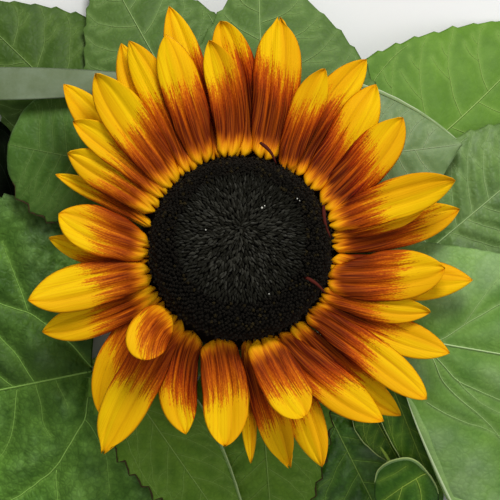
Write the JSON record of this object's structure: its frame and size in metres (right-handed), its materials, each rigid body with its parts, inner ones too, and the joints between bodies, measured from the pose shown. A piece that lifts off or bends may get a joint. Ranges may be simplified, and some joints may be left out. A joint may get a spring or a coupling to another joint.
{
  "type": "cut sunflower top",
  "caption": "Cut top of a bicolour sunflower lying face up: dark seed disc, yellow and maroon petals, green bracts, leaves and a short bent stem.",
  "frame": {"origin": "under the middle of the whole cut top's box, at the height of the surface it lies on", "axes": "+Z is up, the way the bloom faces; +X is to the right in the picture, along the longest extent; +Y is up in the picture"},
  "size_m": [0.3282, 0.2164, 0.0754],
  "materials": {
    "stem": "matt, finely ribbed and hairy green stem",
    "receptacle": "matt, hairy green bracts and cup",
    "seed_disc": "matt, near-black packed florets",
    "petal": "soft satin, yellow with a maroon band",
    "leaf": "matt, veined and rough green leaf"
  },
  "bodies": {
    "root": {"stem": "stem", "receptacle": "receptacle", "seed_disc": "seed_disc", "petal_01": "petal", "petal_02": "petal", "petal_03": "petal", "petal_04": "petal", "petal_05": "petal", "petal_06": "petal", "petal_07": "petal", "petal_08": "petal", "petal_09": "petal", "petal_10": "petal", "petal_11": "petal", "petal_12": "petal", "petal_13": "petal", "petal_14": "petal", "petal_15": "petal", "petal_16": "petal", "petal_17": "petal", "petal_18": "petal", "petal_19": "petal", "petal_20": "petal", "petal_21": "petal", "petal_22": "petal", "petal_23": "petal", "petal_24": "petal", "petal_25": "petal", "petal_26": "petal", "petal_27": "petal", "petal_28": "petal", "petal_29": "petal", "petal_30": "petal", "petal_31": "petal", "petal_32": "petal", "petal_33": "petal", "petal_34": "petal", "petal_35": "petal", "petal_36": "petal", "petal_37": "petal", "petal_38": "petal", "petal_39": "petal", "leaf_top_left": "leaf", "leaf_top_second": "leaf", "leaf_top": "leaf", "leaf_top_right": "leaf", "leaf_right_fold": "leaf", "leaf_right_upper": "leaf", "leaf_right": "leaf", "leaf_right_strip": "leaf", "leaf_curl_low": "leaf", "leaf_curl_small": "leaf", "leaf_bottom_right": "leaf", "leaf_bottom": "leaf", "leaf_bottom_left": "leaf", "leaf_lower_left": "leaf", "leaf_left": "leaf", "leaf_left_deep": "leaf", "leaf_left_folded": "leaf"}
  },
  "joints": []
}
